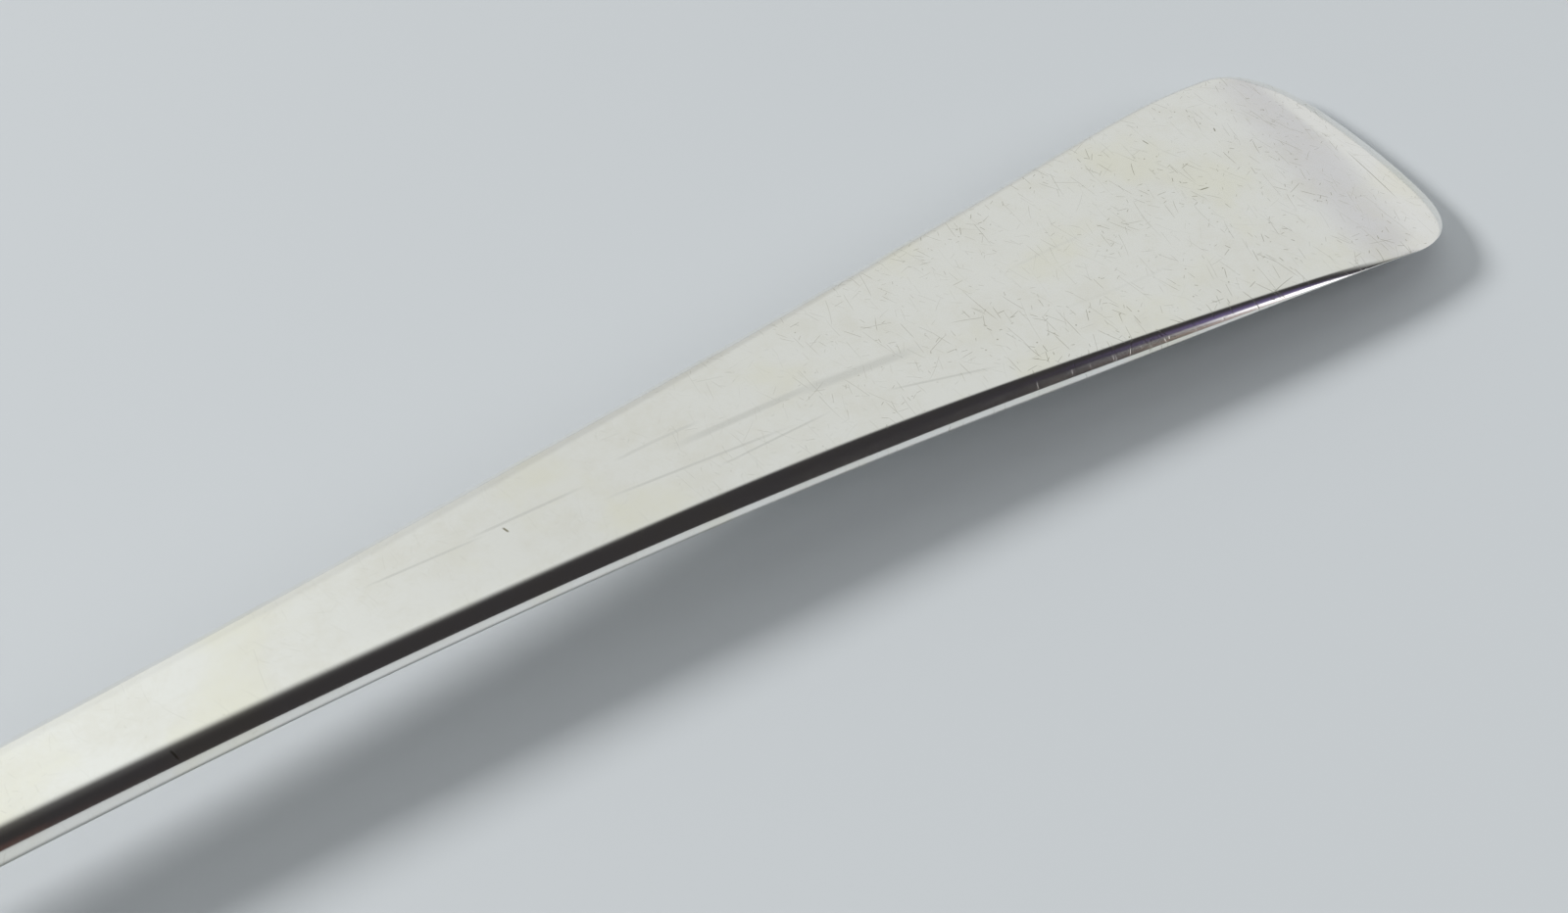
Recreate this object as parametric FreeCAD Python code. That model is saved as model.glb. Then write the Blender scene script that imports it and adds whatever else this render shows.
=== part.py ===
"""A plain silver bar spoon, lying bowl up on a table.

Row frame, in millimetres: origin on the table under the middle of the spoon,
+X towards the end of the handle, +Y across, +Z up.

The spoon is built up from three wrought pieces. The handle and the stem meet in
a soldered scarf, and the stem ends in a drop that laps under the heel of the
bowl and is soldered to it. "Reach" is the distance back from the handle's end.
"""
import FreeCAD, Part
import math
import os

# Overall
LENGTH = 258.0
HALF_LENGTH = LENGTH / 2

# Sections of the shank, which is the handle, the stem and the drop under the bowl:
# reach, half of the width, height of the top face, height of the underside at its
# edges, and height of the underside in its middle. The first one reaches below the
# table, because the handle's end is worn flat there.
SECTIONS = [
    (0.0, 9.55, 1.75, 1.15, -0.6),
    (4.7, 9.3, 2.9, 2.3, 1.2),
    (9.7, 9.05, 3.85, 3.2, 2.1),
    (16.5, 8.4, 4.59, 3.69, 2.85),
    (28.0, 7.1, 5.46, 4.04, 3.75),
    (39.0, 5.9, 6.18, 4.55, 4.42),
    (55.0, 4.5, 6.9, 5.15, 5.05),
    (73.0, 3.4, 7.31, 5.36, 5.25),
    (93.0, 2.75, 7.54, 5.2, 5.05),
    (120.0, 2.4, 7.6, 4.95, 4.8),
    (160.0, 2.25, 7.6, 4.7, 4.55),
    (190.0, 2.4, 7.65, 4.6, 4.45),
    (205.0, 2.95, 7.75, 4.5, 4.3),
    (213.0, 3.8, 7.85, 3.9, 3.7),
    (219.0, 3.3, 8.0, 2.0, 1.8),
    (224.0, 1.4, 8.2, 0.6, 0.5),
]

# Corner radii of a section, as shares of its thickness or half width, whichever is less
UPPER_ROUNDING = 0.55
LOWER_ROUNDING = 0.3

# The handle's end seen from above: a shallow bow between two round corners
END_HALF_WIDTH = 9.25
END_BOW_RADIUS = 38.0
END_CORNER_RADIUS = 5.5
END_FLARE = 0.1

# Scarf between handle and stem: a slanted cut, filled with hard solder
SCARF_REACH = 112.0
SCARF_HEIGHT = 6.3
SCARF_ANGLE = 30.0
SCARF_FILM = 0.15

# Bowl: an egg made of two half ellipsoids that meet where it is widest
BOWL_LENGTH = 44.0
BOWL_HALF_WIDTH = 13.5
BOWL_HEEL_LENGTH = 18.0
BOWL_WALL = 1.1
RIM_HEIGHT = 8.0
RIM_BELOW_CENTRE = 2.2
RIM_ROUNDING = 0.3
BOWL_FILM = 0.2

# How much of the bowl's underside is worn away where it stands
WORN_DEPTH = 0.08

# Larger than the spoon, for the blocks that trim it
BLOCK = 300.0


def place(reach, across, height):
    """The point at a reach from the handle's end."""
    return FreeCAD.Vector(HALF_LENGTH - reach, across, height)


def section(reach, half_width, top, edge, middle):
    """One upright section of the shank: a bar with round corners and a bowed underside."""
    smaller = min(top - edge, half_width)
    upper = UPPER_ROUNDING * smaller
    lower = LOWER_ROUNDING * smaller
    corners = [
        (half_width - upper, top - upper, upper, 90),
        (half_width - lower, edge + lower, lower, 0),
        (lower - half_width, edge + lower, lower, -90),
        (upper - half_width, top - upper, upper, -180),
    ]
    arcs = [corner_arc(reach, *corner) for corner in corners]
    ends = [(arc.Vertexes[0].Point, arc.Vertexes[-1].Point) for arc in arcs]
    joins = [Part.makeLine(ends[i][1], ends[(i + 1) % 4][0]) for i in range(4)]
    joins[1] = Part.Arc(ends[1][1], place(reach, 0, middle), ends[2][0]).toShape()
    edges = [item for pair in zip(arcs, joins) for item in pair]
    return Part.Wire(edges)


def corner_arc(reach, across, height, radius, start_angle):
    """A quarter circle in an upright section, clockwise from its start angle."""
    points = []
    for turn in (0, 45, 90):
        angle = math.radians(start_angle - turn)
        points.append(place(reach, across + radius * math.cos(angle), height + radius * math.sin(angle)))
    return Part.Arc(*points).toShape()


def end_form():
    """The outline of the handle's end seen from above, as an upright block."""
    bow_depth = END_BOW_RADIUS - math.sqrt(END_BOW_RADIUS ** 2 - END_HALF_WIDTH ** 2)
    flared = END_HALF_WIDTH + END_FLARE * HALF_LENGTH
    left = [place(bow_depth, END_HALF_WIDTH, 0), place(HALF_LENGTH, flared, 0)]
    right = [place(HALF_LENGTH, -flared, 0), place(bow_depth, -END_HALF_WIDTH, 0)]
    bow = Part.Arc(right[1], place(0, 0, 0), left[0]).toShape()
    sides = Part.makePolygon([left[0], left[1], right[0], right[1]])
    block = Part.Face(Part.Wire([bow] + sides.Edges)).extrude(FreeCAD.Vector(0, 0, BLOCK))
    block.translate(FreeCAD.Vector(0, 0, -BLOCK / 2))
    corners = [edge for edge in block.Edges if is_upright(edge) and edge.CenterOfMass.x > HALF_LENGTH / 2]
    return block.makeFillet(END_CORNER_RADIUS, corners)


def is_upright(edge):
    """True for a straight vertical edge."""
    box = edge.BoundBox
    return max(box.XLength, box.YLength) < 0.01


def shank():
    """Handle, stem and drop as one bar, with its end shaped and worn flat where it rests."""
    bar = Part.makeLoft([section(*row) for row in SECTIONS], True, False)
    above_table = Part.makeBox(BLOCK, BLOCK, BLOCK, FreeCAD.Vector(-BLOCK / 2, -BLOCK / 2, 0))
    beyond_end_form = Part.makeBox(HALF_LENGTH, BLOCK, BLOCK, FreeCAD.Vector(0, -BLOCK / 2, -BLOCK / 2))
    waste = beyond_end_form.cut(end_form())
    return bar.cut(waste).common(above_table)


def egg(margin):
    """The bowl's outer form as a closed egg, grown all round by the margin."""
    outer_half_height = RIM_HEIGHT + RIM_BELOW_CENTRE + WORN_DEPTH
    narrowing = math.sqrt(1 - (RIM_BELOW_CENTRE / outer_half_height) ** 2)
    tip_length = (BOWL_LENGTH - BOWL_HEEL_LENGTH) / narrowing + margin
    heel_length = BOWL_HEEL_LENGTH / narrowing + margin
    half_width = BOWL_HALF_WIDTH / narrowing + margin
    half_height = outer_half_height + margin
    tip_half = half_ellipsoid(-1, tip_length, half_width, half_height)
    heel_half = half_ellipsoid(0, heel_length, half_width, half_height)
    form = tip_half.fuse(heel_half)
    widest = -HALF_LENGTH + BOWL_LENGTH - BOWL_HEEL_LENGTH
    form.translate(FreeCAD.Vector(widest, 0, RIM_HEIGHT + RIM_BELOW_CENTRE))
    return form


def half_ellipsoid(start, length, half_width, half_height):
    """Half of an ellipsoid: the half that spans one unit in X from the start, stretched."""
    ball = Part.makeSphere(1.0)
    half = ball.common(Part.makeBox(1, 2, 2, FreeCAD.Vector(start, -1, -1)))
    stretch = FreeCAD.Matrix()
    stretch.scale(length, half_width, half_height)
    return half.transformGeometry(stretch)


def under_rim(shape):
    """The part of a shape between the table and the bowl's rim."""
    corner = FreeCAD.Vector(-BLOCK / 2, -BLOCK / 2, 0)
    return shape.common(Part.makeBox(BLOCK, BLOCK, RIM_HEIGHT, corner))


def bowl():
    """The thin bowl with a softened rim and a small worn flat underneath."""
    shell = under_rim(egg(0).cut(egg(-BOWL_WALL)))
    rim = [edge for edge in shell.Edges if edge.BoundBox.ZMin > RIM_HEIGHT - 0.01]
    rim = [edge for edge in rim if edge.Length > 2 * BOWL_WALL]
    return shell.makeFillet(RIM_ROUNDING, rim)


def scarf_block(low, high):
    """A slanted block across the scarf, between two distances along its normal."""
    block = Part.makeBox(high - low, BLOCK, BLOCK, FreeCAD.Vector(low, -BLOCK / 2, -BLOCK / 2))
    block.rotate(FreeCAD.Vector(0, 0, 0), FreeCAD.Vector(0, 1, 0), 90 - SCARF_ANGLE)
    block.translate(place(SCARF_REACH, 0, SCARF_HEIGHT))
    return block


def handle(bar):
    """The wide end and the taper, as far as the scarf."""
    return bar.cut(scarf_block(-BLOCK / 2, SCARF_FILM / 2))


def scarf_solder(bar):
    """The film of hard solder in the scarf."""
    return bar.common(scarf_block(-SCARF_FILM / 2, SCARF_FILM / 2))


def stem(bar):
    """The slim stem from the scarf to the drop under the bowl's heel."""
    return bar.cut(scarf_block(-SCARF_FILM / 2, BLOCK / 2)).cut(egg(BOWL_FILM))


def bowl_solder(bar):
    """The film of hard solder between the drop and the bowl."""
    return under_rim(bar.common(egg(BOWL_FILM)).cut(egg(0)))


def main():
    os.makedirs("parts", exist_ok=True)
    bar = shank()
    pieces = {
        "handle": handle(bar),
        "stem": stem(bar),
        "bowl": bowl(),
        "scarf_solder": scarf_solder(bar),
        "bowl_solder": bowl_solder(bar),
    }
    for name, shape in pieces.items():
        print(name, len(shape.Solids), shape.isValid(), round(shape.Volume, 2))
        shape.exportStep(f"parts/{name}.step")


if __name__ == "__main__":
    main()
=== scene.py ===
"""Looks of the bar spoon: polished silver, worn by use, on a plain pale table.

The spoon lies along X with the handle's end at +X, in the frame of the CAD model.
Lengths are in millimetres until a mesh is made; the lamps are placed in metres.
"Reach" is the distance back from the handle's end, and "across" the distance sideways
from the spoon's middle.
"""
import math

import bmesh
import bpy
import numpy as np
from mathutils import Matrix, Vector


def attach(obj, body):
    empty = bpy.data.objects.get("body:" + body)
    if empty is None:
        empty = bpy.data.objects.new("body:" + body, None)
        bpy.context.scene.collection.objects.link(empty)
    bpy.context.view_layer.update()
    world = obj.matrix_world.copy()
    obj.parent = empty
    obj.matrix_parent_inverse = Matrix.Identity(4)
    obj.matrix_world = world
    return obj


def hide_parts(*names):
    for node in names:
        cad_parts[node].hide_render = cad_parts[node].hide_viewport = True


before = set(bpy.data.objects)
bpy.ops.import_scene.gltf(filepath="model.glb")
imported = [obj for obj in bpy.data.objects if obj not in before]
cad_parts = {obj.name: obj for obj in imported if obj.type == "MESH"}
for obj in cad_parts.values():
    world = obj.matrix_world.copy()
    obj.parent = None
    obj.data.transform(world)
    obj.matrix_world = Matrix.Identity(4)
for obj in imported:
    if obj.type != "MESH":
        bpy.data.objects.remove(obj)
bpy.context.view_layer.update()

MM = 0.001
HALF_LENGTH = 129.0

# Reach where the handle's rounded end runs into its side
SIDE_START_REACH = 5.7

# Half of the width seen from above, at a reach
HALF_WIDTHS = [
    (SIDE_START_REACH, 9.25), (9.7, 9.05), (16.5, 8.4), (28.0, 7.1), (39.0, 5.9), (55.0, 4.5),
    (73.0, 3.4), (93.0, 2.75), (120.0, 2.4), (160.0, 2.25), (190.0, 2.4), (205.0, 2.95),
    (213.0, 3.8), (219.0, 3.2), (224.0, 1.2),
]

# Height of the top face above the table, at a reach
TOP_HEIGHTS = [
    (0.0, 1.75), (4.7, 2.9), (9.7, 3.85), (16.5, 4.59), (28.0, 5.46), (39.0, 6.18), (55.0, 6.9),
    (73.0, 7.31), (93.0, 7.54), (120.0, 7.6), (160.0, 7.6), (190.0, 7.65), (205.0, 7.75),
    (224.0, 7.95),
]

# Height of the underside above the table at its edges, at a reach
EDGE_HEIGHTS = [
    (0.0, 1.15), (4.7, 2.3), (9.7, 3.2), (16.5, 3.69), (28.0, 4.04), (39.0, 4.55), (55.0, 5.15),
    (73.0, 5.36), (93.0, 5.2), (120.0, 4.95), (160.0, 4.7), (190.0, 4.6), (205.0, 4.45),
    (213.0, 3.8), (219.0, 2.0), (224.0, 0.75),
]

# How far the underside bows down below its edges, at a reach
BOWS = [
    (0.0, 1.75), (4.7, 1.1), (9.7, 1.1), (16.5, 0.84), (28.0, 0.3), (39.0, 0.13), (55.0, 0.12),
    (93.0, 0.15), (190.0, 0.15), (213.0, 0.2), (224.0, 0.1),
]

# How far the rounding of the upper and the lower edges runs in from the side, at a reach
UPPER_ROUNDING = [
    (0.0, 1.7), (3.0, 1.3), (7.0, 0.85), (16.0, 0.8), (28.0, 1.03), (45.0, 1.35), (86.0, 1.6),
    (190.0, 1.4), (213.0, 1.0), (224.0, 0.3),
]
LOWER_ROUNDING = [
    (0.0, 2.2), (3.0, 1.8), (6.0, 0.8), (10.0, 0.45), (16.0, 0.45), (28.0, 0.42), (39.0, 0.48),
    (58.0, 0.74), (86.0, 1.0), (190.0, 1.1), (207.0, 1.6), (219.0, 2.2), (224.0, 1.0),
]

# Crown of the top face at a reach, as a share of the half width
CROWNS = [(0.0, 0.02), (40.0, 0.02), (90.0, 0.06), (160.0, 0.15), (224.0, 0.15)]

# The handle's end: a shallow bow and two round corners
BOW_RADIUS = 38.0
CORNER_RADIUS = 5.5
END_HALF_WIDTH = 9.25
BOW_STEPS = 14
CORNER_STEPS = 28

# Ridge worn along the handle's end: the top face falls faster outside it
RIDGE_REACH = 3.0
RIDGE_SOFTNESS = 0.3
RIDGE_SLOPE = 0.07

# Scarf between handle and stem, at 30 degrees. The film of solder is measured along the spoon,
# and the cross-sections begin to lean at this length from the scarf
SCARF_REACH = 112.0
SCARF_HEIGHT = 6.3
SCARF_RUN = 1 / math.tan(math.radians(30.0))
SCARF_FILM = 0.3
SCARF_LEAN_LENGTH = 9.0

# The stem's drop, whose top is let into the bowl's wall by its sink
DROP_START_REACH = 208.0
STEM_END_REACH = 224.0
DROP_SINK = 0.35

# Spacing of the cross-sections along the handle, the stem and the drop
HANDLE_SPACING = 0.6
STEM_SPACING = 0.8
DROP_SPACING = 0.2

# Bowl: its widest place, the axes of its egg (to the tip, to the heel, across, down) and its rim
BOWL_WIDEST = -103.0
BOWL_CENTRE_HEIGHT = 10.2
BOWL_OUTER = (26.62, 18.43, 13.82, 10.28)
BOWL_WALL = 1.1
BOWL_INNER = tuple(axis - BOWL_WALL for axis in BOWL_OUTER)
BOWL_TURNS = 128
BOWL_LEVELS = 40
RIM_HEIGHT = 8.0
RIM_LIP = 0.5
LIP_LEVEL = RIM_HEIGHT - RIM_LIP
LIP_STEPS = 12

# Bead of solder where the drop meets the bowl's back. Its two ends bulge out, and it stays
# below the rim along the sides and at the heel
BEAD_RADIUS = 0.28
BEAD_SIDES = 12
BEAD_START_REACH = 213.75
BEAD_BULGE = 0.35
BEAD_SIDES_BELOW_RIM = 0.25
BEAD_HEEL_BELOW_RIM = 0.3
BEAD_SIDE_POINTS = 60
BEAD_FRONT_STEPS = 12
BEAD_HEEL_STEPS = 16


# ---------------------------------------------------------------- curves

class Curve:
    """A smooth curve through a few points: a natural cubic spline."""

    def __init__(self, points):
        self.x = np.array([p[0] for p in points], float)
        self.y = np.array([p[1] for p in points], float)
        step = np.diff(self.x)
        slope = np.diff(self.y) / step
        count = len(points)
        system = np.eye(count)
        right = np.zeros(count)
        for i in range(1, count - 1):
            system[i, i - 1:i + 2] = step[i - 1], 2 * (step[i - 1] + step[i]), step[i]
            right[i] = 6 * (slope[i] - slope[i - 1])
        self.bend = np.linalg.solve(system, right)

    def __call__(self, at):
        at = min(max(at, self.x[0]), self.x[-1])
        i = min(max(int(np.searchsorted(self.x, at)) - 1, 0), len(self.x) - 2)
        step = self.x[i + 1] - self.x[i]
        a = (self.x[i + 1] - at) / step
        b = 1 - a
        bent = ((a ** 3 - a) * self.bend[i] + (b ** 3 - b) * self.bend[i + 1]) * step ** 2 / 6
        return float(a * self.y[i] + b * self.y[i + 1] + bent)


half_width = Curve(HALF_WIDTHS)
top_height = Curve(TOP_HEIGHTS)
edge_height = Curve(EDGE_HEIGHTS)
under_bow = Curve(BOWS)
upper_rounding = Curve(UPPER_ROUNDING)
lower_rounding = Curve(LOWER_ROUNDING)
crown = Curve(CROWNS)


def smooth_step(at, low, high):
    """0 below low, 1 above high, smooth in between."""
    t = min(max((at - low) / (high - low), 0.0), 1.0)
    return t * t * (3 - 2 * t)


# ---------------------------------------------------------------- the bowl's surface

def egg_terms(tip, heel):
    """The two numbers of the map that takes the egg's length onto -1 to 1."""
    bend = (1 - heel / tip) / (heel * tip + heel * heel)
    return (1 + bend * tip * tip) / tip, bend


def bowl_back(x, y):
    """Height of the bowl's back at x, y, and infinity outside it."""
    tip, heel, side, deep = BOWL_OUTER
    slope, bend = egg_terms(tip, heel)
    along = x - BOWL_WIDEST
    room = 1 - (slope * along + bend * along * along) ** 2 - (y / side) ** 2
    if room <= 0 or not -tip - 1 < along < heel + 1:
        return math.inf
    return BOWL_CENTRE_HEIGHT - deep * math.sqrt(room)


def egg_point(axes, turn, level):
    """A point of an egg's lower surface: turn goes round, level is the height."""
    tip, heel, side, deep = axes
    slope, bend = egg_terms(tip, heel)
    sink = (BOWL_CENTRE_HEIGHT - level) / deep
    shrink = math.sqrt(max(1 - sink * sink, 0))
    reach = shrink * math.cos(turn)
    along = (-slope + math.sqrt(slope * slope + 4 * bend * reach)) / (2 * bend)
    return BOWL_WIDEST + along, side * shrink * math.sin(turn), level


# ---------------------------------------------------------------- the shank's surface

def top_face(reach, across):
    """Height of the slightly crowned top face. Under the bowl it follows the bowl's back."""
    wide = half_width(max(reach, SIDE_START_REACH))
    height = top_height(reach) - crown(reach) * across ** 2 / wide
    sagitta = BOW_RADIUS - math.sqrt(BOW_RADIUS ** 2 - min(across, END_HALF_WIDTH) ** 2)
    outside = RIDGE_REACH + sagitta - reach
    height -= RIDGE_SLOPE * (outside + math.hypot(outside, RIDGE_SOFTNESS)) / 2
    return min(height, bowl_back(HALF_LENGTH - reach, across) + DROP_SINK)


def under_face(reach, across):
    """Height of the bowed underside, worn flat where the handle's end touches the table."""
    wide = half_width(max(reach, SIDE_START_REACH))
    hang = under_bow(reach) * max(1 - (across / wide) ** 2, 0.0)
    return max(edge_height(reach) - hang, 0.0)


def side_rows(start, end, step):
    """Points of the side's outline from one reach to another, with their outward normals."""
    rows = []
    nudge = 0.05
    count = round((end - start) / step)
    for i in range(count + 1):
        reach = start + (end - start) * i / count
        slope = (half_width(reach + nudge) - half_width(reach - nudge)) / (2 * nudge)
        length = math.hypot(1, slope)
        rows.append((reach, half_width(reach), -slope / length, 1 / length))
    return rows


def end_rows():
    """The outline of the handle's end, from its middle to where the side begins."""
    corner_across = END_HALF_WIDTH - CORNER_RADIUS
    reach_in = BOW_RADIUS - CORNER_RADIUS
    meet = math.asin(corner_across / reach_in)
    corner_reach = BOW_RADIUS - reach_in * math.cos(meet)
    rows = []
    for i in range(BOW_STEPS):
        angle = meet * i / BOW_STEPS
        out, side = -math.cos(angle), math.sin(angle)
        rows.append((BOW_RADIUS * (1 + out), BOW_RADIUS * side, out, side))
    for i in range(CORNER_STEPS):
        angle = meet + (math.pi / 2 - meet) * i / CORNER_STEPS
        out, side = -math.cos(angle), math.sin(angle)
        spot = corner_reach + CORNER_RADIUS * out, corner_across + CORNER_RADIUS * side
        rows.append((*spot, out, side))
    return rows


# Steps of a half section: each flat face, each rounded edge and the side between them
FLAT_STEPS = 16
ROUND_STEPS = 14
SIDE_STEPS = 3

# Share of the thickness that the upper rounding takes, at the handle's end and farther back
UPPER_SHARE_AT_END = 0.4
UPPER_SHARE_GAIN = 0.32

# Near the handle's end the upper rounding is a little flatter than an ellipse
END_FLATNESS = 0.15


def profile(row, axis_reach):
    """Points from the middle of the top face, round the edge, to the middle of the underside."""
    reach, across, out, side = row
    thick = top_face(reach, across) - under_face(reach, across)
    upper = upper_rounding(reach)
    # The lower rounding shrinks where the outline nears the spoon's middle
    lower = min(lower_rounding(reach), 0.9 * across + 0.2)
    upper_share = UPPER_SHARE_AT_END + UPPER_SHARE_GAIN * smooth_step(reach, 3, 14)
    rise_upper = min(upper, thick * upper_share)
    rise_lower = min(lower, thick - rise_upper)
    power = 1 + END_FLATNESS * (1 - smooth_step(reach, 40, 60))

    def inwards(inset):
        return reach - out * inset, max(across - side * inset, 0.0)

    def on_top(inset, drop):
        spot = inwards(inset)
        return (*spot, top_face(*spot) - drop)

    def on_underside(inset, rise):
        spot = inwards(inset)
        return (*spot, under_face(*spot) + rise)

    points = []
    edge = inwards(upper)
    for i in range(FLAT_STEPS):
        share = i / FLAT_STEPS
        spot = axis_reach + (edge[0] - axis_reach) * share, edge[1] * share
        points.append((*spot, top_face(*spot)))
    for i in range(ROUND_STEPS + 1):
        angle = math.pi / 2 * i / ROUND_STEPS
        inset = upper * (1 - math.sin(angle) ** power)
        drop = rise_upper * (1 - max(math.cos(angle), 0.0) ** power)
        points.append(on_top(inset, drop))
    high = points[-1][2]
    low = on_underside(0, rise_lower)[2]
    for i in range(1, SIDE_STEPS):
        points.append((reach, across, high + (low - high) * i / SIDE_STEPS))
    for i in range(ROUND_STEPS + 1):
        angle = math.pi / 2 * (1 - i / ROUND_STEPS)
        inset = lower * (1 - math.sin(angle))
        points.append(on_underside(inset, rise_lower * (1 - math.cos(angle))))
    edge = inwards(lower)
    for i in range(1, FLAT_STEPS + 1):
        share = 1 - i / FLAT_STEPS
        spot = axis_reach + (edge[0] - axis_reach) * share, edge[1] * share
        points.append((*spot, under_face(*spot)))
    return points


def slanted(points, lean, shift):
    """Moves points along the spoon so that at full lean they lie in the scarf's plane."""
    moved = []
    for reach, across, height in points:
        offset = lean * (SCARF_RUN * (height - SCARF_HEIGHT) + shift)
        moved.append((reach - offset, across, height))
    return moved


# ---------------------------------------------------------------- meshes

# Faces with at least this many corners are flat caps, which stay flat-shaded
CAP_CORNERS = 8


def finished(mesh, name):
    """Turns a bmesh into a smooth-shaded object."""
    bmesh.ops.recalc_face_normals(mesh, faces=mesh.faces)
    for face in mesh.faces:
        face.smooth = len(face.verts) < CAP_CORNERS
    data = bpy.data.meshes.new(name)
    mesh.to_mesh(data)
    mesh.free()
    piece = bpy.data.objects.new(name, data)
    bpy.context.scene.collection.objects.link(piece)
    return piece


def join_rings(mesh, ring, following):
    """Adds the band of faces between two closed rings of points."""
    for k in range(len(ring)):
        after = (k + 1) % len(ring)
        mesh.faces.new([ring[k], ring[after], following[after], following[k]])


def bar_mesh(name, rows):
    """A closed mesh from half sections, mirrored about the spoon's middle and capped."""
    mesh = bmesh.new()
    for sign in (1, -1):
        grid = []
        for points in rows:
            line = []
            for reach, across, height in points:
                spot = Vector((HALF_LENGTH - reach, sign * across, max(height, 0.0))) * MM
                line.append(mesh.verts.new(spot))
            grid.append(line)
        for line, following in zip(grid, grid[1:]):
            for i in range(len(line) - 1):
                quad = [line[i], following[i], following[i + 1], line[i + 1]]
                mesh.faces.new(quad if sign > 0 else quad[::-1])
    bmesh.ops.remove_doubles(mesh, verts=mesh.verts, dist=1e-7)
    bmesh.ops.dissolve_degenerate(mesh, edges=mesh.edges, dist=1e-8)
    rims = [edge for edge in mesh.edges if edge.is_boundary]
    for edge in rims:
        edge.smooth = False
    bmesh.ops.holes_fill(mesh, edges=rims, sides=0)
    return finished(mesh, name)


# Rows of the handle's end fan out from its middle line; they stand square farther back
FAN_START = 6.7
FAN_SPREAD = 13.1
FAN_FADE = (20.0, 60.0)


def fan_reach(walked, reach):
    """Reach where a row meets the middle line, after a walk along the outline from its middle."""
    square = smooth_step(walked, *FAN_FADE)
    past = walked - FAN_START
    fanned = (past + math.hypot(past, FAN_SPREAD * (1 - square))) / 2
    return fanned + (reach - fanned) * square


def make_handle():
    """The wide end and the taper, down to the slanted scarf."""
    outline = end_rows() + side_rows(SIDE_START_REACH, SCARF_REACH, HANDLE_SPACING)
    walked = 0.0
    rows = []
    for before, row in zip(outline[:1] + outline, outline):
        walked += math.dist(row[:2], before[:2])
        lean = smooth_step(row[0], SCARF_REACH - SCARF_LEAN_LENGTH, SCARF_REACH)
        points = profile(row, fan_reach(walked, row[0]))
        rows.append(slanted(points, lean, SCARF_FILM / 2))
    return bar_mesh("handle_body", rows)


def make_stem():
    """The slim stem from the scarf to the drop lapped under the bowl's heel."""
    outline = side_rows(SCARF_REACH, DROP_START_REACH, STEM_SPACING)[:-1]
    outline += side_rows(DROP_START_REACH, STEM_END_REACH, DROP_SPACING)
    rows = []
    for row in outline:
        lean = 1 - smooth_step(row[0], SCARF_REACH, SCARF_REACH + SCARF_LEAN_LENGTH)
        rows.append(slanted(profile(row, row[0]), lean, -SCARF_FILM / 2))
    return bar_mesh("stem_body", rows)


def make_scarf_seam():
    """The film of solder in the scarf, flush with the metal on both sides."""
    row = side_rows(SCARF_REACH, SCARF_REACH + 1, 1)[0]
    section = profile(row, SCARF_REACH)
    rows = [slanted(section, 1, SCARF_FILM * share) for share in (0.5, 0.0, -0.5)]
    return bar_mesh("scarf_seam", rows)


def egg_rings(axes):
    """Rings of an egg's lower surface, from its lowest point up to the lip."""
    bottom = BOWL_CENTRE_HEIGHT - axes[3]
    rings = []
    for i in range(1, BOWL_LEVELS + 1):
        level = bottom + (LIP_LEVEL - bottom) * (1 - math.cos(math.pi / 2 * i / BOWL_LEVELS))
        turns = [2 * math.pi * k / BOWL_TURNS for k in range(BOWL_TURNS)]
        rings.append([egg_point(axes, turn, level) for turn in turns])
    return rings


def lip_rings(outer_ring, inner_ring):
    """Rings over the rounded rim, from the outside to the inside."""
    rings = []
    for i in range(1, LIP_STEPS):
        angle = math.pi * i / LIP_STEPS
        share = (1 - math.cos(angle)) / 2
        ring = []
        for (out_x, out_y, _), (in_x, in_y, _) in zip(outer_ring, inner_ring):
            spot = out_x + (in_x - out_x) * share, out_y + (in_y - out_y) * share
            ring.append((*spot, LIP_LEVEL + RIM_LIP * math.sin(angle)))
        rings.append(ring)
    return rings


def make_bowl():
    """The thin bowl: back, rounded rim and inside, worn flat where it stands."""
    outside = egg_rings(BOWL_OUTER)
    inside = egg_rings(BOWL_INNER)[::-1]
    mesh = bmesh.new()
    grid = []
    for ring in outside + lip_rings(outside[-1], inside[0]) + inside:
        grid.append([mesh.verts.new(Vector((x, y, max(z, 0.0))) * MM) for x, y, z in ring])
    for ring, following in zip(grid, grid[1:]):
        join_rings(mesh, ring, following)
    for ring, level in ((grid[0], 0.0), (grid[-1], BOWL_CENTRE_HEIGHT - BOWL_INNER[3])):
        middle = mesh.verts.new(Vector((BOWL_WIDEST, 0, level)) * MM)
        for k in range(BOWL_TURNS):
            mesh.faces.new([ring[k], ring[(k + 1) % BOWL_TURNS], middle])
    return finished(mesh, "bowl_body")


def bead_path():
    """The line where the stem's drop meets the bowl's back, once round."""
    side = []
    for i in range(BEAD_SIDE_POINTS):
        share = i / (BEAD_SIDE_POINTS - 1)
        reach = BEAD_START_REACH + (STEM_END_REACH - BEAD_START_REACH) * share ** 1.5
        across = half_width(reach)
        height = bowl_back(HALF_LENGTH - reach, across)
        if height < RIM_HEIGHT - BEAD_SIDES_BELOW_RIM:
            side.append((HALF_LENGTH - reach, across, height))
    first = side[0]
    last = side[-1]
    front = []
    for i in range(1, BEAD_FRONT_STEPS):
        turn = math.pi * i / BEAD_FRONT_STEPS
        spot = last[0] - BEAD_BULGE * math.sin(turn), last[1] * math.cos(turn)
        front.append((*spot, bowl_back(*spot)))
    far_side = [(x, -y, z) for x, y, z in reversed(side)]
    climb = RIM_HEIGHT - BEAD_HEEL_BELOW_RIM - first[2]
    heel = []
    for i in range(1, BEAD_HEEL_STEPS):
        turn = math.pi * i / BEAD_HEEL_STEPS
        spot = first[0] + BEAD_BULGE * math.sin(turn), -first[1] * math.cos(turn)
        heel.append((*spot, first[2] + climb * min(1, 2 * math.sin(turn))))
    return side + front + far_side + heel


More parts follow.
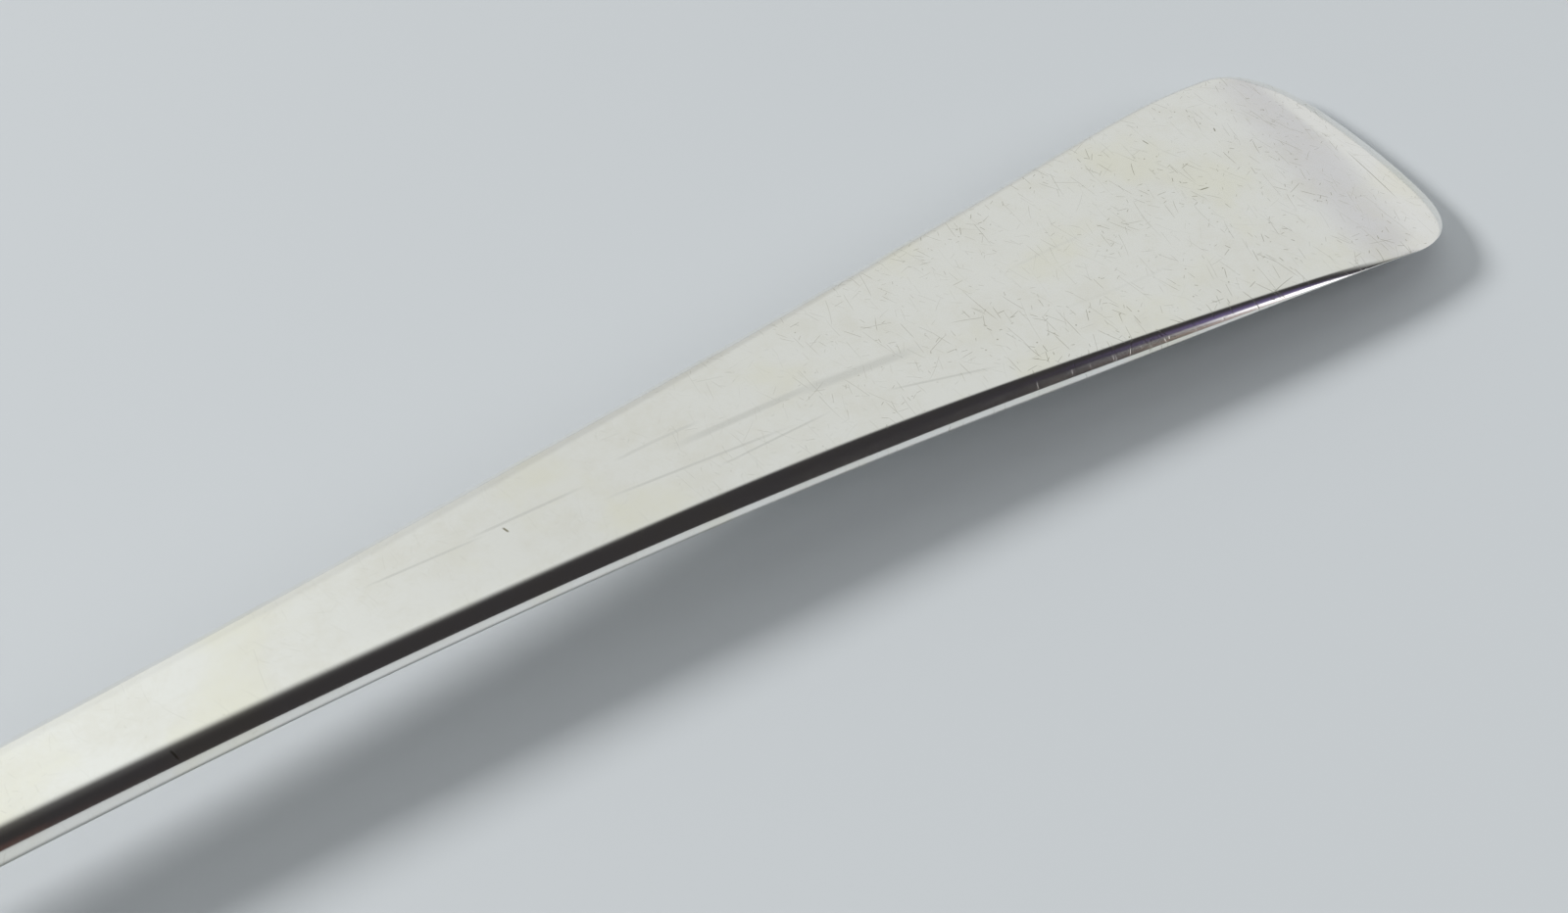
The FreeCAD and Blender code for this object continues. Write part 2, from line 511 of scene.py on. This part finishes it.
def make_bead():
    """The small round of solder along the joint of stem and bowl."""
    path = [Vector(point) for point in bead_path()]
    mesh = bmesh.new()
    rings = []
    for i, spot in enumerate(path):
        along = (path[(i + 1) % len(path)] - path[i - 1]).normalized()
        first = along.cross(Vector((0, 0, 1)))
        first = (first if first.length > 1e-3 else along.cross(Vector((1, 0, 0)))).normalized()
        second = along.cross(first)
        ring = []
        for k in range(BEAD_SIDES):
            angle = 2 * math.pi * k / BEAD_SIDES
            offset = BEAD_RADIUS * (math.cos(angle) * first + math.sin(angle) * second)
            ring.append(mesh.verts.new((spot + offset) * MM))
        rings.append(ring)
    for i, ring in enumerate(rings):
        join_rings(mesh, ring, rings[(i + 1) % len(rings)])
    return finished(mesh, "heel_bead")


# ---------------------------------------------------------------- materials

# Colours as (red, green, blue); the worn ones are shares of the clean metal's own colour
SILVER_TINT = (0.955, 0.945, 0.915)
SOLDER_TINT = (0.88, 0.86, 0.80)
TABLE_COLOUR = (0.546, 0.577, 0.605)
DULL_SHARE = (0.955, 0.945, 0.915)
TARNISHED_SHARE = (0.985, 0.97, 0.87)
RUBBED_SHARE = (0.80, 0.80, 0.79)
DEEP_SHARE = (0.34, 0.32, 0.25)

# Layers of fine scratches: cell size, half length, width, seed, share of cells, heading, spread
HAIRLINES = [
    (1.2, 0.5, 0.026, 3.1, 0.7, 0.0, math.pi),
    (0.6, 0.22, 0.030, 17.7, 0.5, 0.0, math.pi),
    (2.2, 1.2, 0.020, 41.3, 0.9, 0.0, math.pi),
    (1.7, 1.0, 0.022, 57.9, 1.0, 1.5, 0.5),
    (2.9, 2.0, 0.018, 68.7, 0.9, 1.6, 0.35),
    (1.3, 0.7, 0.022, 83.3, 0.9, 1.45, 0.7),
]

# Long faint rubs in the same order, and tiny pits: cell size, radius, seed, share of cells
LONG_RUBS = (9.0, 5.5, 0.16, 7.7, 0.5, 0.1, 0.2)
PITS = (1.1, 0.06, 23.3, 0.35)

# The scratches gather at the handle's end: x where they begin and where they are full
SCRATCHES_BEGIN = 72.0
SCRATCHES_FULL = 104.0
SCRATCHES_ELSEWHERE = 0.12

# Marks of their own: start, end, half width, in millimetres seen from above
RUBS = [
    ((77.0, 0.0), (87.6, -0.4), 0.32),
    ((84.5, -0.3), (93.4, -1.2), 0.45),
    ((72.2, -1.0), (84.2, -2.2), 0.13),
    ((78.5, -2.4), (86.4, -2.4), 0.11),
    ((65.5, 0.5), (72.9, 0.2), 0.14),
    ((59.8, 0.7), (67.0, 0.2), 0.12),
    ((88.9, -2.6), (96.0, -4.6), 0.12),
]
NICKS = [
    ((67.7, 0.2), (67.85, -0.3), 0.09),
    ((114.8, 0.75), (115.6, 0.65), 0.06),
    ((126.2, 0.1), (125.6, -5.5), 0.035),
    ((48.6, -2.4), (48.8, -2.9), 0.08),
    ((115.0, 6.1), (115.1, 5.5), 0.05),
    ((119.8, 4.9), (119.6, 4.5), 0.06),
]

# Share of a scratch's or mark's half width that is fully dark before it fades
DARK_CORE = 0.2


class Nodes:
    """A short way to add and link shader nodes."""

    def __init__(self, tree):
        self.tree = tree

    def add(self, kind, inputs=None, **settings):
        node = self.tree.nodes.new(kind)
        for key, value in settings.items():
            setattr(node, key, value)
        for key, value in (inputs or {}).items():
            if isinstance(value, bpy.types.NodeSocket):
                self.tree.links.new(value, node.inputs[key])
            else:
                node.inputs[key].default_value = value
        return node

    def math(self, operation, first, second=0.5, third=0.5):
        inputs = {0: first, 1: second, 2: third}
        return self.add("ShaderNodeMath", inputs, operation=operation).outputs[0]

    def vector(self, operation, first, second):
        """A sum, difference or product of two vectors."""
        return self.add("ShaderNodeVectorMath", {0: first, 1: second}, operation=operation).outputs[0]

    def turned(self, vector, angle):
        """The three parts of a vector after a turn about the vertical."""
        inputs = {"Vector": vector, "Angle": angle}
        node = self.add("ShaderNodeVectorRotate", inputs, rotation_type="Z_AXIS")
        return self.parts(node.outputs[0])

    def parts(self, vector):
        return self.add("ShaderNodeSeparateXYZ", {0: vector}).outputs

    def ramp(self, value, low, high, from_value=0.0, to_value=1.0):
        """A smooth step of a value."""
        inputs = {0: value, 1: low, 2: high, 3: from_value, 4: to_value}
        return self.add("ShaderNodeMapRange", inputs, interpolation_type="SMOOTHSTEP").outputs[0]

    def between(self, value, low, low_end, high, high_end):
        """1 from low_end to high, 0 below low and above high_end, smooth in between."""
        rise = self.ramp(value, low, low_end)
        return self.math("MULTIPLY", rise, self.ramp(value, high, high_end, 1.0, 0.0))

    def noise(self, position, scale, detail, roughness=0.5):
        inputs = {"Vector": position, "Scale": scale, "Detail": detail, "Roughness": roughness}
        return self.add("ShaderNodeTexNoise", inputs).outputs[0]

    def mix(self, share, first, second):
        """A blend of two colours: the first at share 0, the second at share 1."""
        node = self.add("ShaderNodeMix", {0: share, 6: first, 7: second}, data_type="RGBA")
        return node.outputs[2]


def opaque(colour, share=(1.0, 1.0, 1.0)):
    """A colour times a share of each channel, with alpha 1."""
    return (*[value * part for value, part in zip(colour, share)], 1.0)


def cell_grid(n, position, size, seed):
    """A net of irregular cells: the place within a cell in millimetres, and three random numbers."""
    spot = n.vector("MULTIPLY", position, (1 / size, 1 / size, 0))
    spot = n.vector("ADD", spot, (seed, seed * 1.7, 0))
    inputs = {"Vector": spot, "Scale": 1.0, "Randomness": 1.0}
    cell = n.add("ShaderNodeTexVoronoi", inputs, voronoi_dimensions="2D")
    local = n.vector("SUBTRACT", spot, cell.outputs["Position"])
    local = n.vector("MULTIPLY", local, (size, size, 0))
    draws = n.add("ShaderNodeSeparateColor", {0: cell.outputs["Color"]})
    return local, draws.outputs


def scratches(n, position, size, length, width, seed, share, heading, spread):
    """Short, slightly bowed scratches, one in some of the cells: 1 in a scratch, 0 elsewhere."""
    local, draws = cell_grid(n, position, size, seed)
    angle = n.math("MULTIPLY_ADD", draws[0], 2 * spread, heading - spread)
    along, aside, _ = n.turned(local, angle)
    sagitta = n.math("MULTIPLY", n.math("SUBTRACT", draws[1], 0.5), 0.3 / size)
    bow = n.math("MULTIPLY", n.math("MULTIPLY", along, along), sagitta)
    distance = n.math("ABSOLUTE", n.math("SUBTRACT", aside, bow))
    line = n.ramp(distance, DARK_CORE * width, width, 1.0, 0.0)
    reach = n.math("MULTIPLY_ADD", draws[1], 0.6 * length, 0.4 * length)
    ends = n.math("SUBTRACT", 1.0, n.math("DIVIDE", n.math("ABSOLUTE", along), reach))
    ends = n.ramp(ends, 0.0, 0.4)
    strength = n.ramp(draws[2], 1 - share, 1.0)
    return n.math("MULTIPLY", n.math("MULTIPLY", line, ends), strength)


def pits(n, position, size, radius, seed, share):
    """Tiny pits, one in some of the cells."""
    local, draws = cell_grid(n, position, size, seed)
    distance = n.add("ShaderNodeVectorMath", {0: local}, operation="LENGTH").outputs["Value"]
    spot = n.ramp(distance, 0.4 * radius, radius, 1.0, 0.0)
    return n.math("MULTIPLY", spot, n.ramp(draws[2], 1 - share, 1.0))


def own_mark(n, position, start, end, half_breadth):
    """One straight mark between two points: 1 on it, 0 elsewhere."""
    middle = ((start[0] + end[0]) / 2, (start[1] + end[1]) / 2, 0)
    half_length = math.dist(start, end) / 2
    heading = math.atan2(end[1] - start[1], end[0] - start[0])
    along, aside, _ = n.turned(n.vector("SUBTRACT", position, middle), -heading)
    line = n.ramp(n.math("ABSOLUTE", aside), DARK_CORE * half_breadth, half_breadth, 1.0, 0.0)
    ends = n.ramp(n.math("ABSOLUTE", along), 0.4 * half_length, half_length, 1.0, 0.0)
    return n.math("MULTIPLY", line, ends)


def dark_marks(n, mm, wear):
    """Pits, fine scratches and nicks, which are dark: 1 on a mark, 0 elsewhere."""
    marks = pits(n, mm, *PITS)
    for layer in HAIRLINES:
        marks = n.math("MAXIMUM", marks, scratches(n, mm, *layer))
    uneven = n.ramp(n.noise(mm, 0.3, 3.0), 0.35, 0.65, 0.25, 1.0)
    at_end = n.ramp(n.parts(mm)[0], SCRATCHES_BEGIN, SCRATCHES_FULL, SCRATCHES_ELSEWHERE, 1.0)
    marks = n.math("MULTIPLY", marks, n.math("MULTIPLY", uneven, at_end))
    marks = n.math("MULTIPLY", marks, wear)
    for mark in NICKS:
        marks = n.math("MAXIMUM", marks, own_mark(n, mm, *mark))
    return marks


def broad_rubs(n, mm):
    """Broad rubs along the spoon, which are slightly darker: 1 on a rub, 0 elsewhere."""
    rubs = scratches(n, mm, *LONG_RUBS)
    for mark in RUBS:
        rubs = n.math("MAXIMUM", rubs, own_mark(n, mm, *mark))
    return rubs


def silver(name, tint, roughness, wear=1.0):
    """Polished silver with fine random scratches, faint streaks and uneven polish."""
    material = bpy.data.materials.new(name)
    material.use_nodes = True
    tree = material.node_tree
    tree.nodes.clear()
    n = Nodes(tree)
    place = n.add("ShaderNodeTexCoord").outputs["Object"]
    mm = n.vector("MULTIPLY", place, (1 / MM, 1 / MM, 1 / MM))
    marks = dark_marks(n, mm, wear)
    rubs = broad_rubs(n, mm)
    streaks = n.noise(n.vector("MULTIPLY", mm, (0.05, 0.9, 0.9)), 1.0, 4.0)
    haze = n.noise(mm, 0.3, 6.0, 0.7)
    grain = n.noise(mm, 7.0, 3.0)
    patches = n.noise(mm, 0.16, 5.0)

    dull = opaque(tint, DULL_SHARE)
    colour = n.mix(n.ramp(haze, 0.4, 0.7), opaque(tint), dull)
    tarnish = n.math("MULTIPLY", n.ramp(patches, 0.5, 0.7), 0.7)
    colour = n.mix(tarnish, colour, opaque(tint, TARNISHED_SHARE))
    colour = n.mix(n.math("MULTIPLY", n.ramp(streaks, 0.55, 0.8), 0.4), colour, dull)
    colour = n.mix(n.math("MULTIPLY", rubs, 0.7), colour, opaque(tint, RUBBED_SHARE))
    colour = n.mix(n.math("MULTIPLY", n.ramp(grain, 0.45, 0.75), 0.25), colour, dull)
    colour = n.mix(marks, colour, opaque(tint, DEEP_SHARE))

    rough = n.math("MULTIPLY_ADD", n.ramp(haze, 0.3, 0.8), 0.04, roughness)
    rough = n.math("MULTIPLY_ADD", n.ramp(streaks, 0.5, 0.8), 0.03, rough)
    rough = n.math("MULTIPLY_ADD", marks, 0.1, rough)

    height = n.math("MULTIPLY_ADD", marks, -1.0, n.math("MULTIPLY", grain, 0.1))
    bump = n.add("ShaderNodeBump", {"Height": height, "Strength": 0.25, "Distance": 0.00001})
    surface = {"Base Color": colour, "Roughness": rough, "Normal": bump.outputs[0], "Metallic": 1.0}
    shader = n.add("ShaderNodeBsdfPrincipled", surface)
    n.add("ShaderNodeOutputMaterial", {0: shader.outputs[0]})
    return material


def table_material():
    """A plain, pale and dull table."""
    material = bpy.data.materials.new("table")
    material.use_nodes = True
    shader = material.node_tree.nodes["Principled BSDF"]
    shader.inputs["Base Color"].default_value = opaque(TABLE_COLOUR)
    shader.inputs["Roughness"].default_value = 0.9
    shader.inputs["Specular IOR Level"].default_value = 0.1
    return material


# ---------------------------------------------------------------- scene

# How far the table reaches from the middle, in metres
TABLE_REACH = 4.0

# Camera: its place and lens in millimetres, its heading and its tilt in degrees
CAMERA_PLACE = (40.715, -63.415, 93.2)
CAMERA_LENS = 50.4675
SENSOR_WIDTH = 36.0
CAMERA_HEADING = 34.716
CAMERA_DOWN = 50.0

# Lamps, in metres and watts: the key stands off in a direction, the fill at a place
KEY_DIRECTION = (-1.2, 0.84, 1.0)
KEY_DISTANCE = 0.75
KEY_TARGET = (0.06, 0.0, 0.0)
KEY_SIZE = 0.2036
KEY_ENERGY = 5.453
KEY_COLOUR = (1.0, 0.985, 0.965)
FILL_PLACE = (0.27, -0.15, 0.17)
FILL_TARGET = (0.11, 0.0, 0.0)
FILL_SIZE = 0.16
FILL_ENERGY = 0.21

# Colours of the surroundings: the pale side, then the dark zone and the patches in it
DIM_COLOUR = (0.16, 0.16, 0.16, 1.0)
LIT_COLOUR = (0.655, 0.675, 0.66, 1.0)
RIGHT_COLOUR = (0.66, 0.68, 0.675, 1.0)
FAR_RIGHT_COLOUR = (0.70, 0.715, 0.715, 1.0)
GLOW_COLOUR = (0.85, 0.88, 0.86, 1.0)
BAND_COLOUR = (0.59, 0.60, 0.625, 1.0)
DARK_COLOUR = (0.034, 0.032, 0.034, 1.0)
BROWN_COLOUR = (0.35, 0.26, 0.225, 1.0)
RED_COLOUR = (0.24, 0.11, 0.09, 1.0)
VIOLET_COLOUR = (0.15, 0.12, 0.26, 1.0)
WINDOW_COLOUR = (2.2, 2.2, 2.3, 1.0)


def add_table():
    """A plain table under the spoon."""
    mesh = bmesh.new()
    bmesh.ops.create_grid(mesh, x_segments=2, y_segments=2, size=TABLE_REACH)
    data = bpy.data.meshes.new("table")
    mesh.to_mesh(data)
    mesh.free()
    table = bpy.data.objects.new("table", data)
    bpy.context.scene.collection.objects.link(table)
    data.materials.append(table_material())


def add_camera():
    """A camera above the near side, which looks down at the handle's end."""
    heading = math.radians(CAMERA_HEADING)
    down = math.radians(CAMERA_DOWN)
    ahead = Vector((math.sin(heading), math.cos(heading), 0))
    forward = ahead * math.cos(down) - Vector((0, 0, math.sin(down)))
    right = Vector((math.cos(heading), -math.sin(heading), 0))
    up = right.cross(forward)
    place = Vector(CAMERA_PLACE) * MM
    data = bpy.data.cameras.new("camera")
    data.sensor_width = SENSOR_WIDTH
    data.lens = CAMERA_LENS
    data.clip_start = 0.001
    camera = bpy.data.objects.new("camera", data)
    camera.matrix_world = Matrix((
        (right.x, up.x, -forward.x, place.x),
        (right.y, up.y, -forward.y, place.y),
        (right.z, up.z, -forward.z, place.z),
        (0, 0, 0, 1),
    ))
    bpy.context.scene.collection.objects.link(camera)
    bpy.context.scene.camera = camera


def add_lamp(name, place, target, size, energy):
    """A round lamp at a place, aimed at a target."""
    data = bpy.data.lights.new(name, "AREA")
    data.shape = "DISK"
    data.size = size
    data.energy = energy
    lamp = bpy.data.objects.new(name, data)
    lamp.location = place
    lamp.rotation_euler = (place - target).to_track_quat("Z", "Y").to_euler()
    bpy.context.scene.collection.objects.link(lamp)
    return lamp


def add_key_light():
    """A soft lamp from the far side, which throws the shadow towards the near side."""
    target = Vector(KEY_TARGET)
    place = target + Vector(KEY_DIRECTION).normalized() * KEY_DISTANCE
    lamp = add_lamp("key", place, target, KEY_SIZE, KEY_ENERGY)
    lamp.data.color = KEY_COLOUR


def add_fill_light():
    """A weak lamp off the handle's end, which lightens the shadow and isn't seen in reflections."""
    lamp = add_lamp("fill", Vector(FILL_PLACE), Vector(FILL_TARGET), FILL_SIZE, FILL_ENERGY)
    lamp.visible_glossy = False


def pale_side(n, x, y):
    """Pale surroundings above and beyond the spoon, dim elsewhere."""
    lit = n.math("MULTIPLY", n.ramp(y, -0.5, -0.1), n.ramp(x, -0.5, -0.2))
    lit = n.math("MULTIPLY", lit, n.ramp(y, 0.7, 0.9, 1.0, 0.8))
    colour = n.mix(lit, DIM_COLOUR, LIT_COLOUR)
    colour = n.mix(n.ramp(x, 0.6, 0.85), colour, RIGHT_COLOUR)
    colour = n.mix(n.ramp(x, 0.83, 0.86), colour, FAR_RIGHT_COLOUR)
    glow = n.math("MULTIPLY", lit, n.between(x, -0.25, -0.05, 0.0, 0.33))
    colour = n.mix(glow, colour, GLOW_COLOUR)
    return n.mix(n.between(x, 0.765, 0.81, 0.83, 0.85), colour, BAND_COLOUR)


def dark_side(n, x, z):
    """The dark zone, with brown, red and violet patches and a bright window."""
    low = n.ramp(z, 0.12, 0.45, 1.0, 0.0)
    brown = n.math("MULTIPLY", low, n.between(x, 0.40, 0.45, 0.47, 0.50))
    red = n.math("MULTIPLY", low, n.ramp(x, -0.02, -0.12))
    violet = n.math("MULTIPLY", n.ramp(z, 0.6, 0.78, 1.0, 0.0), n.between(x, 0.46, 0.50, 0.56, 0.61))
    window = n.math("MULTIPLY", n.ramp(z, 0.38, 0.58, 1.0, 0.0), n.between(x, 0.465, 0.50, 0.545, 0.59))
    colour = n.mix(brown, DARK_COLOUR, BROWN_COLOUR)
    colour = n.mix(red, colour, RED_COLOUR)
    colour = n.mix(violet, colour, VIOLET_COLOUR)
    return n.mix(window, colour, WINDOW_COLOUR)


def add_world():
    """Studio surroundings, coloured by direction: pale above and beyond, dark on the near side."""
    world = bpy.data.worlds.new("studio")
    bpy.context.scene.world = world
    world.use_nodes = True
    tree = world.node_tree
    tree.nodes.clear()
    n = Nodes(tree)
    x, y, z = n.parts(n.add("ShaderNodeTexCoord").outputs["Generated"])

    # The dark zone sets in as directions tilt to the near side: slowly at -X, sharply at +X
    tilt = n.math("ARCTAN2", n.math("MULTIPLY", y, -1.0), z)
    edge = n.ramp(x, -0.15, 0.05, math.radians(-12), math.radians(2))
    full = n.ramp(x, -0.1, 0.36, math.radians(60), math.radians(14))
    shade = n.math("MULTIPLY", n.ramp(tilt, edge, full), n.between(x, -0.5, -0.3, 0.66, 0.8))
    colour = n.mix(shade, pale_side(n, x, y), dark_side(n, x, z))
    background = n.add("ShaderNodeBackground", {0: colour, 1: 1.0})
    n.add("ShaderNodeOutputWorld", {0: background.outputs[0]})


def dress(piece, node, material):
    """Puts a piece in place of its CAD node."""
    piece.data.materials.append(material)
    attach(piece, "root")
    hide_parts(node)


bpy.context.scene.view_settings.view_transform = "Standard"
add_camera()
add_world()
add_key_light()
add_fill_light()
add_table()

polished = silver("silver_polished", SILVER_TINT, 0.10)
solder = silver("hard_solder", SOLDER_TINT, 0.2, 0.5)
dress(make_handle(), "handle", polished)
dress(make_stem(), "stem", polished)
dress(make_bowl(), "bowl", polished)
dress(make_scarf_seam(), "scarf_solder", solder)
dress(make_bead(), "bowl_solder", solder)
